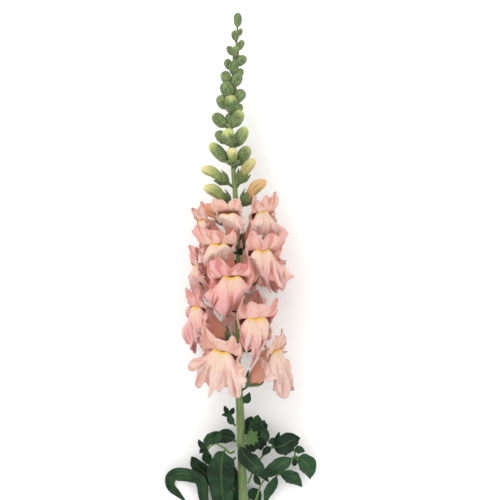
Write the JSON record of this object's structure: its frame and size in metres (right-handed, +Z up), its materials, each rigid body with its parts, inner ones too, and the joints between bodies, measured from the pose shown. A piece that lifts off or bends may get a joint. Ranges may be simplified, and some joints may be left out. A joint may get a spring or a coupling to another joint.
{
  "type": "snapdragon stem",
  "caption": "Cut snapdragon flower stem lying down: leafy stalk, a spire of closed and opening buds, and open lipped blooms in pale pink with yellow palates.",
  "frame": {"origin": "centre of the bounding box's underside, where the stem lies on a surface", "axes": "+Y along the stalk from its cut end to the tip of the spire, +Z up from the surface it lies on, +X to the right seen from above"},
  "size_m": [0.1166, 0.4282, 0.0721],
  "materials": {
    "petal_pink": "soft matt petal, pale salmon pink with a yellow and cream palate",
    "calyx_green": "matt green sepal with fine hairs",
    "bud_petal": "soft matt bud petal, yellow-green to peach",
    "stalk_green": "satin green stalk and closed buds",
    "leaf_green": "satin dark green leaf"
  },
  "bodies": {
    "root": {"bud_calyx_01": "calyx_green", "bud_calyx_02": "calyx_green", "bud_calyx_03": "calyx_green", "bud_calyx_04": "calyx_green", "bud_calyx_05": "calyx_green", "bud_calyx_06": "calyx_green", "bud_petals_01": "bud_petal", "bud_petals_02": "bud_petal", "bud_petals_03": "bud_petal", "bud_petals_04": "bud_petal", "bud_petals_05": "bud_petal", "bud_petals_06": "bud_petal", "calyx_01": "calyx_green", "calyx_02": "calyx_green", "calyx_03": "calyx_green", "calyx_04": "calyx_green", "calyx_05": "calyx_green", "calyx_06": "calyx_green", "calyx_07": "calyx_green", "calyx_08": "calyx_green", "calyx_09": "calyx_green", "calyx_10": "calyx_green", "calyx_11": "calyx_green", "calyx_12": "calyx_green", "calyx_13": "calyx_green", "calyx_14": "calyx_green", "corolla_01": "petal_pink", "corolla_02": "petal_pink", "corolla_03": "petal_pink", "corolla_04": "petal_pink", "corolla_05": "petal_pink", "corolla_06": "petal_pink", "corolla_07": "petal_pink", "corolla_08": "petal_pink", "corolla_09": "petal_pink", "corolla_10": "petal_pink", "corolla_11": "petal_pink", "corolla_12": "petal_pink", "corolla_13": "petal_pink", "corolla_14": "petal_pink", "leaf_behind": "leaf_green", "leaf_crossing": "leaf_green", "leaf_left": "leaf_green", "leaf_left_arched": "leaf_green", "leaf_left_low": "leaf_green", "leaf_right_low": "leaf_green", "leaf_under": "leaf_green", "shoot_left": "leaf_green", "shoot_left_small": "leaf_green", "shoot_right": "leaf_green", "shoot_right_inner": "leaf_green", "shoot_right_low": "leaf_green", "stalk_with_closed_buds": "stalk_green"}
  },
  "joints": []
}
